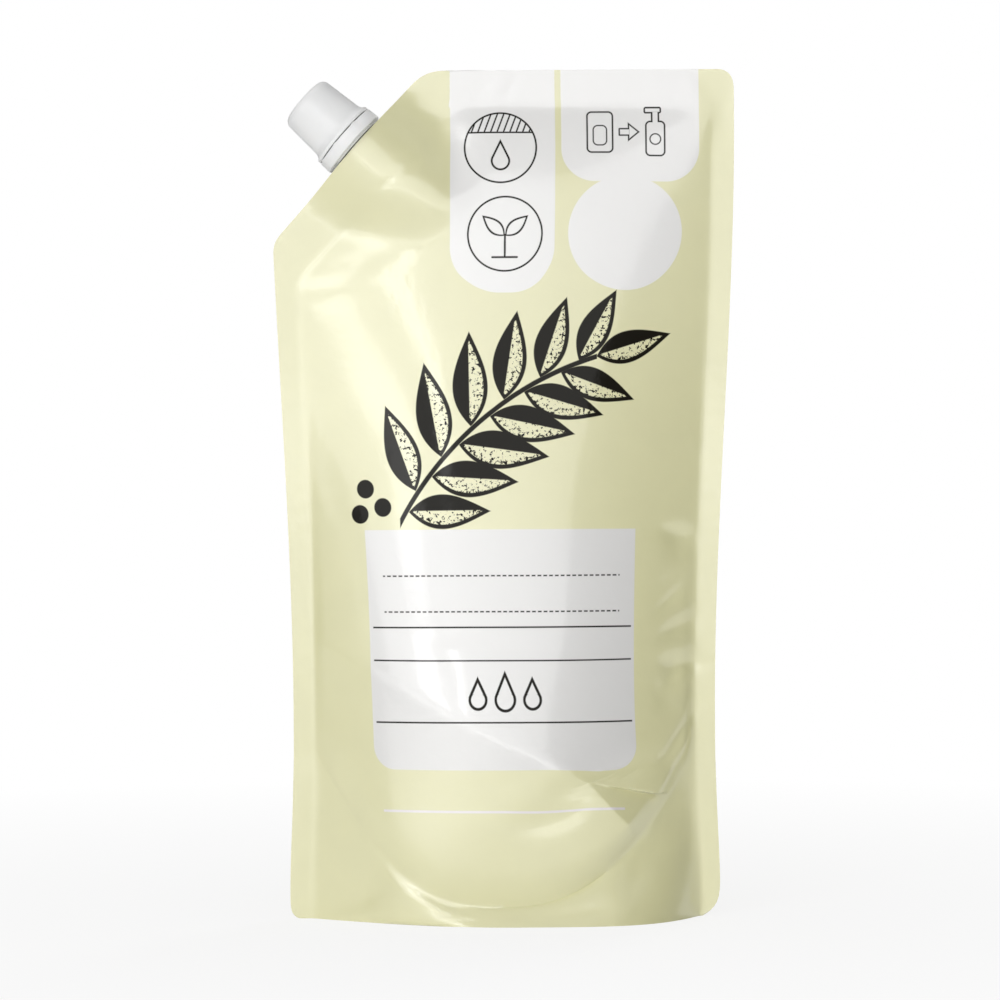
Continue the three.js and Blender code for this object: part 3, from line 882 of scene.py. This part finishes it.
def printed_laminate(inks_and_highlight):
    """Satin laminate film, gravure printed: an even cream ground under a clear glossy web.

    The eye sees broad soft highlights, flat fields of ink with crisp edges, and faint mottle in the cream.
    """
    material, put = new_material("laminate film, gravure printed")
    place = put("ShaderNodeAttribute", attribute_name="film", attribute_type="GEOMETRY")
    film = put("ShaderNodeVectorMath", (place.outputs["Vector"], (1, 1, 0)), operation="MULTIPLY")
    side = put("ShaderNodeSeparateXYZ", [place.outputs["Vector"]])
    front = put("ShaderNodeMath", (side.outputs[2], 0.5), operation="GREATER_THAN")
    # The scales of the noises are per millimetre of film: specks of 1.1 mm, mottle of 12 mm, web of 3 mm
    grain = put("ShaderNodeTexNoise", {"Vector": film, "Scale": 0.9, "Detail": 3.0, "Roughness": 0.7})
    # The left side of the label leans in towards its foot
    height = put("ShaderNodeSeparateXYZ", [film])
    lean = put("ShaderNodeMapRange", {"Value": height.outputs[1], "From Min": LABEL[2], "From Max": LABEL[3],
                                      "To Min": 1 + LABEL_TAPER, "To Max": 1.0}, clamp=False)
    lean = put("ShaderNodeCombineXYZ", (lean, 1.0, 0.0))
    squared = put("ShaderNodeVectorMath", (film, (-LABEL[1], 0, 0)), operation="ADD")
    squared = put("ShaderNodeVectorMath", (squared, lean), operation="MULTIPLY")
    squared = put("ShaderNodeVectorMath", (squared, (LABEL[1], 0, 0)), operation="ADD")
    label = panel(put, squared, *LABEL[:3], LABEL[3] + 8, LABEL[4])
    label_top = put("ShaderNodeMath", (height.outputs[1], LABEL[3]), operation="SUBTRACT")
    label = joined(put, [label, label_top], "MAXIMUM")
    whites = joined(put, [*[panel(put, film, *tab) for tab in TABS], disc(put, film, *DISC)])
    leaves, halves, stem, berries = sprig(put, film)
    # Leaves are dark on one half and stippled on the other, more densely towards the edge
    speck = put("ShaderNodeMath", (grain, -40.0, 20.6), operation="MULTIPLY_ADD")
    depth = put("ShaderNodeMath", (leaves, -0.9), operation="MULTIPLY")
    speck = put("ShaderNodeMath", (speck, depth), operation="ADD")
    stipple = joined(put, [speck, leaves], "MAXIMUM")
    drawn = joined(put, [line(put, leaves, 1.2), halves, stem, berries, stipple,
                         ring_marks(put, film), refill_marks(put, film), label_marks(put, squared)])
    mottle = put("ShaderNodeTexNoise", {"Vector": film, "Scale": 0.08, "Detail": 2.0})
    shade = put("ShaderNodeMapRange", {"Value": mottle, "To Min": 0.96, "To Max": 1.03})
    ground = put("ShaderNodeMix", {0: 1.0, 6: tuple(inks_and_highlight.cream), 7: shade},
                 data_type="RGBA", blend_type="MULTIPLY")
    # The thin lilac band above the base is a painted highlight of light on a low ridge of the film, laid on
    # like an ink
    foot_highlight = panel(put, film, *FOOT_HIGHLIGHT, 0.2)
    for shape, ink in ((foot_highlight, inks_and_highlight.lilac_highlight), (label, inks_and_highlight.label), (whites, inks_and_highlight.white), (drawn, inks_and_highlight.ink)):
        much = put("ShaderNodeMath", (cover(put, shape), front), operation="MULTIPLY")
        ground = put("ShaderNodeMix", {0: much, 6: ground, 7: tuple(ink)}, data_type="RGBA")
    # Fine unevenness of the laminated web, and a soft sheen and a gloss that the black ink dulls
    sheen = put("ShaderNodeMapRange", {"Value": much, "To Min": 0.7, "To Max": 0.0})
    clear = put("ShaderNodeMapRange", {"Value": much, "To Min": 1.0, "To Max": 0.3})
    web = put("ShaderNodeTexNoise", {"Vector": film, "Scale": 0.35, "Detail": 2.0})
    bump = put("ShaderNodeBump", {"Height": web, "Strength": 0.06, "Distance": 0.0006})
    gloss = put("ShaderNodeMapRange", {"Value": mottle, "To Min": 0.07, "To Max": 0.12})
    shader = put("ShaderNodeBsdfPrincipled",
                 {"Base Color": ground, "Roughness": 0.45, "IOR": 2.0, "Specular IOR Level": sheen,
                  "Coat Weight": clear, "Coat Roughness": gloss, "Coat IOR": 1.5,
                  "Normal": bump, "Coat Normal": bump})
    put("ShaderNodeOutputMaterial", {"Surface": shader})
    return material


# The closure


def spin_piece(name, profile, turns=96):
    """Draws a profile of radius and height point by point, and spins it about the axis."""
    bpy.ops.object.select_all(action="DESELECT")
    bpy.ops.mesh.primitive_plane_add(size=MM)
    obj = bpy.context.object
    obj.name = obj.data.name = name
    bpy.ops.object.mode_set(mode="EDIT")
    bpy.ops.mesh.select_mode(type="VERT")
    bpy.ops.mesh.select_all(action="SELECT")
    bpy.ops.mesh.merge(type="CENTER")
    places = [Vector((r * MM, 0, z * MM)) for r, z in profile]
    bpy.ops.transform.translate(value=places[0])
    for start, end in zip(places[:-1], places[1:]):
        bpy.ops.mesh.extrude_region_move(TRANSFORM_OT_translate={"value": end - start})
    bpy.ops.mesh.select_all(action="SELECT")
    bpy.ops.mesh.spin(steps=turns, angle=2 * math.pi, center=(0, 0, 0), axis=(0, 0, 1))
    bpy.ops.mesh.select_all(action="SELECT")
    bpy.ops.mesh.remove_doubles(threshold=0.002 * MM)
    bpy.ops.mesh.normals_make_consistent(inside=False)
    bpy.ops.object.mode_set(mode="OBJECT")
    return obj


def rounded(obj, wide, segments=3, angle=35):
    """Rounds the edges of a moulding and shades it smooth."""
    select_only(obj)
    bevel = obj.modifiers.new("edges", "BEVEL")
    bevel.width, bevel.segments, bevel.limit_method = wide * MM, segments, "ANGLE"
    bevel.angle_limit = math.radians(angle)
    bpy.ops.object.modifier_apply(modifier="edges")
    bpy.ops.object.shade_smooth_by_angle(angle=math.radians(40))


def stand_on_spout(obj):
    """Moves a piece made about Z onto the spout's axis, and settles its place in its mesh."""
    side = Vector((0, 1, 0))
    across = side.cross(SPOUT_AXIS)
    turn = Matrix((across, side, SPOUT_AXIS)).transposed().to_4x4()
    obj.matrix_world = Matrix.Translation(SPOUT_FOOT) @ turn
    select_only(obj)
    bpy.ops.object.transform_apply(location=True, rotation=True, scale=True)


class ClosureSettings(bpy.types.PropertyGroup):
    """Sizes of the cap and its tamper ring, along the spout's axis from the film's edge."""

    bead_room: length("Bead room", "Inside radius over the neck's bead", 8.9)
    inside: length("Inside", "Inside radius over the thread", 7.85)
    cap_foot: length("Cap foot", "Where the cap starts", 4.95)
    cap_top: length("Cap top", "Where the cap ends", 21.2)
    flare: length("Flare", "Radius of the band at the foot", 10.8)
    wall_low: length("Wall low", "Radius just above the band", 9.5)
    wall_high: length("Wall high", "Radius at the top", 8.75)
    top_edge: length("Top edge", "Rounding round the top", 2.4)
    roof: length("Roof", "Thickness of the top", 1.7)
    ring_foot: length("Ring foot", "Where the tamper ring starts", 0.8)
    ring_top: length("Ring top", "Where the tamper ring ends", 4.6)
    ring: length("Ring", "Radius of the tamper ring", 11.1)
    bridge: length("Bridge", "Width of a bridge between ring and cap", 1.3)
    bridge_tall: length("Bridge height", "What is left of a bridge on the ring", 0.2)
    bridges: IntProperty(name="Bridges", description="Bridges round the ring", default=8, min=3)


class POUCH_OT_cap(bpy.types.Operator):
    """Turns the screw cap"""

    bl_idname = "pouch.cap"
    bl_label = "Cap"

    def execute(self, context):
        c = in_mm(context.scene.pouch_closure)
        corner = [
            (c.wall_high - c.top_edge * (1 - math.cos(a)), c.cap_top - c.top_edge * (1 - math.sin(a)))
            for a in np.linspace(0, math.pi / 2, 9)
        ]
        under = c.cap_top - c.roof
        profile = [
            (0, under), (c.inside, under), (c.inside, c.cap_foot + 3.2), (c.bead_room, c.cap_foot + 2.4),
            (c.bead_room, c.cap_foot), (c.flare, c.cap_foot), (c.flare, c.cap_foot + 0.9),
            (c.wall_low + 0.45, c.cap_foot + 1.7), (c.wall_low + 0.1, c.cap_foot + 2.4),
            (c.wall_low, c.cap_foot + 3.2), *corner, (0, c.cap_top),
        ]
        cap = spin_piece("screw_cap", profile)
        rounded(cap, 0.2)
        stand_on_spout(cap)
        plastic = moulded_polypropylene(context.scene.pouch_print.cap)
        finish_piece(cap, "closure", "cap", plastic)
        return {"FINISHED"}


class POUCH_OT_ring(bpy.types.Operator):
    """Turns the tamper ring and raises the stubs of its bridges"""

    bl_idname = "pouch.ring"
    bl_label = "Tamper ring"

    def execute(self, context):
        s = context.scene.pouch_closure
        c = in_mm(s)
        profile = [
            (c.inside, c.ring_foot + 0.4), (c.inside + 0.4, c.ring_foot), (c.ring - 0.3, c.ring_foot),
            (c.ring, c.ring_foot + 0.3), (c.ring - 0.2, c.ring_top), (c.ring - 1.2, c.ring_top),
            (c.inside + 1, c.ring_top), (c.inside, c.ring_top - 1), (c.inside, c.ring_foot + 0.4),
        ]
        ring = spin_piece("tamper_band", profile, turns=152)
        half = s.bridge / s.ring / 2
        pitch = 2 * math.pi / s.bridges

        def under_bridge(face):
            far = math.hypot(*face.center.xy)
            turn = math.atan2(face.center.y, face.center.x) % pitch - pitch / 2
            return face.normal.z > 0.9 and far > s.ring - 1.4 * MM and abs(turn) < half

        select_faces(ring, under_bridge)
        bpy.ops.mesh.extrude_region_move(TRANSFORM_OT_translate={"value": (0, 0, s.bridge_tall)})
        bpy.ops.object.mode_set(mode="OBJECT")
        rounded(ring, 0.08, segments=2)
        stand_on_spout(ring)
        plastic = moulded_polypropylene(context.scene.pouch_print.cap)
        finish_piece(ring, "pack", "tamper_ring", plastic)
        return {"FINISHED"}


class POUCH_OT_spout(bpy.types.Operator):
    """Gives the spout's moulding its finish"""

    bl_idname = "pouch.spout"
    bl_label = "Spout"

    def execute(self, context):
        spout = frame["nodes"]["spout"]
        spout.data.materials.clear()
        spout.data.materials.append(moulded_polyethylene(context.scene.pouch_print.spout))
        return {"FINISHED"}


def moulded_polypropylene(tint):
    """Polypropylene, injection moulded: white, a little waxy, with a fine grain and soft shine."""
    material, put = new_material("polypropylene, injection moulded")
    place = put("ShaderNodeTexCoord").outputs["Object"]
    # The grain of the mould is finer than half a millimetre, and is drawn at that so that it shows
    grain = put("ShaderNodeTexNoise", {"Vector": place, "Scale": 1 / (0.5 * MM), "Detail": 2.0})
    bump = put("ShaderNodeBump", {"Height": grain, "Strength": 0.05, "Distance": 0.00004})
    cloud = put("ShaderNodeTexNoise", {"Vector": place, "Scale": 1 / (6 * MM), "Detail": 2.0})
    gloss = put("ShaderNodeMapRange", {"Value": cloud, "To Min": 0.34, "To Max": 0.44})
    tone = put("ShaderNodeMapRange", {"Value": cloud, "To Min": 0.975, "To Max": 1.015})
    body = put("ShaderNodeMix", {0: 1.0, 6: tuple(tint), 7: tone}, data_type="RGBA", blend_type="MULTIPLY")
    shader = put(
        "ShaderNodeBsdfPrincipled",
        {"Base Color": body, "Roughness": gloss, "Normal": bump, "IOR": 1.49, "Subsurface Weight": 0.4,
         "Subsurface Radius": (0.0025, 0.0024, 0.0023), "Subsurface Scale": 1.0},
    )
    put("ShaderNodeOutputMaterial", {"Surface": shader})
    return material


def moulded_polyethylene(tint):
    """Polyethylene, injection moulded: milky white and duller than the cap, with faint flow marks."""
    material, put = new_material("polyethylene, injection moulded")
    place = put("ShaderNodeTexCoord").outputs["Object"]
    flow = put("ShaderNodeTexNoise", {"Vector": place, "Scale": 1 / (4 * MM), "Detail": 3.0})
    gloss = put("ShaderNodeMapRange", {"Value": flow, "To Min": 0.42, "To Max": 0.54})
    tone = put("ShaderNodeMapRange", {"Value": flow, "To Min": 0.96, "To Max": 1.01})
    body = put("ShaderNodeMix", {0: 1.0, 6: tuple(tint), 7: tone}, data_type="RGBA", blend_type="MULTIPLY")
    shader = put("ShaderNodeBsdfPrincipled", {"Base Color": body, "Roughness": gloss, "IOR": 1.51})
    put("ShaderNodeOutputMaterial", {"Surface": shader})
    return material


# The stage

# Lamps: place and size in metres, power in watts
LAMPS = {
    "strip": ((-0.65, -1.13, 0.6), (0.21, 0.68), 1.45),
    "thin strip": ((-0.4, -1.24, 0.64), (0.07, 0.58), 0.65),
    "front": ((-0.3, -1.48, 0.48), (2.0, 0.75), 8.8),
    "right": ((0.82, -0.64, 0.91), (0.7, 0.5), 0.5),
    "wide": ((-1.35, -1.15, 0.74), (1.5, 1.4), 1.7),
    "back": ((0.75, 1.25, 0.6), (0.45, 1.0), 5.0),
    "sweep": ((-0.2, -1.35, 0.1), (2.6, 0.2), 2.6),
}
FLOOR_RADIUS = 1.2


def soft_light(name, place, size, power, aim):
    """A large rectangular lamp, aimed at a point."""
    lamp = bpy.data.lights.new(name, "AREA")
    lamp.shape, lamp.size, lamp.size_y, lamp.energy = "RECTANGLE", *size, power
    obj = bpy.data.objects.new(name, lamp)
    bpy.context.collection.objects.link(obj)
    obj.location = place
    obj.rotation_euler = (Vector(aim) - Vector(place)).to_track_quat("-Z", "Y").to_euler()


def seen_white(put):
    """1 for a ray that the eye follows: straight, mirrored or through glass."""
    path = put("ShaderNodeLightPath").outputs
    return joined(put, [path[f"Is {ray} Ray"] for ray in ("Camera", "Glossy", "Transmission")], "MAXIMUM")


class POUCH_OT_stage(bpy.types.Operator):
    """Adds the floor, the light and the camera"""

    bl_idname = "pouch.stage"
    bl_label = "Stage"

    def execute(self, context):
        s = context.scene.pouch_stage
        bpy.ops.object.select_all(action="DESELECT")
        bpy.ops.mesh.primitive_circle_add(vertices=96, radius=FLOOR_RADIUS, fill_type="NGON")
        floor = context.object
        floor.name = "floor"
        material, put = new_material("white paper sweep")
        paper = put("ShaderNodeBsdfDiffuse", {"Color": (0.9, 0.9, 0.9, 1)})
        glow = put("ShaderNodeEmission", {"Color": (1, 1, 1, 1), "Strength": 1.0})
        place = put("ShaderNodeTexCoord").outputs["Object"]
        away = put("ShaderNodeVectorMath", [place], operation="LENGTH")
        fade = put("ShaderNodeMapRange", {"Value": away, "From Min": 0.05, "From Max": 0.5,
                                          "To Min": 0.8, "To Max": 1.0})
        much = put("ShaderNodeMath", (seen_white(put), fade), operation="MULTIPLY")
        mixed = put("ShaderNodeMixShader", (much, paper, glow))
        put("ShaderNodeOutputMaterial", {"Surface": mixed})
        floor.data.materials.append(material)
        world = bpy.data.worlds.new("white room")
        context.scene.world = world
        world.use_nodes = True
        world.node_tree.nodes.clear()
        put = partial(add_node, world.node_tree)
        # The room is bright above, behind and on the left, dim on the right, and white to the camera
        way = put("ShaderNodeSeparateXYZ", [put("ShaderNodeTexCoord").outputs["Generated"]])
        ways = ((0, -0.8, 0.8, 0.28, 0.03), (1, 0.1, 0.7, 0.0, 0.35), (2, 0.6, 0.9, 0.0, 0.8))
        room = joined(put, [
            put("ShaderNodeMapRange", {"Value": way.outputs[axis], "From Min": start, "From Max": end,
                                       "To Min": low, "To Max": high})
            for axis, start, end, low, high in ways
        ], "MAXIMUM")
        bright = put("ShaderNodeMapRange", {"Value": put("ShaderNodeLightPath").outputs["Is Camera Ray"],
                                            "To Min": room, "To Max": 1.0})
        light = put("ShaderNodeBackground", {"Color": (1, 1, 1, 1), "Strength": bright})
        put("ShaderNodeOutputWorld", [light])
        for name, (place, size, power) in LAMPS.items():
            soft_light(name, place, size, power, Vector((0, 0, s.view_z)))
        lens = bpy.data.cameras.new("camera")
        lens.sensor_width = 36
        lens.lens = lens.sensor_width * s.distance / s.view_width
        lens.clip_start, lens.clip_end = 0.05, 20
        camera = bpy.data.objects.new("camera", lens)
        context.collection.objects.link(camera)
        middle = Vector((s.view_x, 0, s.view_z))
        back = Vector((0, -math.cos(s.rise), math.sin(s.rise)))
        camera.location = middle + s.distance * back
        look = (-back).to_track_quat("-Z", "Y").to_matrix()
        camera.rotation_euler = (look @ Matrix.Rotation(-s.roll, 3, "Z")).to_euler()
        context.scene.camera = camera
        context.scene.view_settings.view_transform = "Standard"
        return {"FINISHED"}


# The add-on

OPERATORS = (POUCH_OT_film, POUCH_OT_spout, POUCH_OT_ring, POUCH_OT_cap, POUCH_OT_stage)
SETTINGS = {
    "pouch": PouchSettings, "pouch_print": PrintSettings,
    "pouch_closure": ClosureSettings, "pouch_stage": StageSettings,
}


class POUCH_PT_sidebar(bpy.types.Panel):
    """Lists the steps that build the pack"""

    bl_label = "Refill pouch"
    bl_space_type = "VIEW_3D"
    bl_region_type = "UI"
    bl_category = "Pouch"

    def draw(self, context):
        for operator in OPERATORS:
            self.layout.operator(operator.bl_idname)


def register():
    for group in SETTINGS.values():
        bpy.utils.register_class(group)
    for name, group in SETTINGS.items():
        setattr(bpy.types.Scene, name, PointerProperty(type=group))
    for cls in (*OPERATORS, POUCH_PT_sidebar):
        bpy.utils.register_class(cls)


def unregister():
    for cls in (POUCH_PT_sidebar, *reversed(OPERATORS)):
        bpy.utils.unregister_class(cls)
    for name in SETTINGS:
        delattr(bpy.types.Scene, name)
    for group in SETTINGS.values():
        bpy.utils.unregister_class(group)


def main():
    register()
    bpy.ops.pouch.film()
    bpy.ops.pouch.spout()
    bpy.ops.pouch.ring()
    bpy.ops.pouch.cap()
    bpy.ops.pouch.stage()


if __name__ == "__main__":
    main()
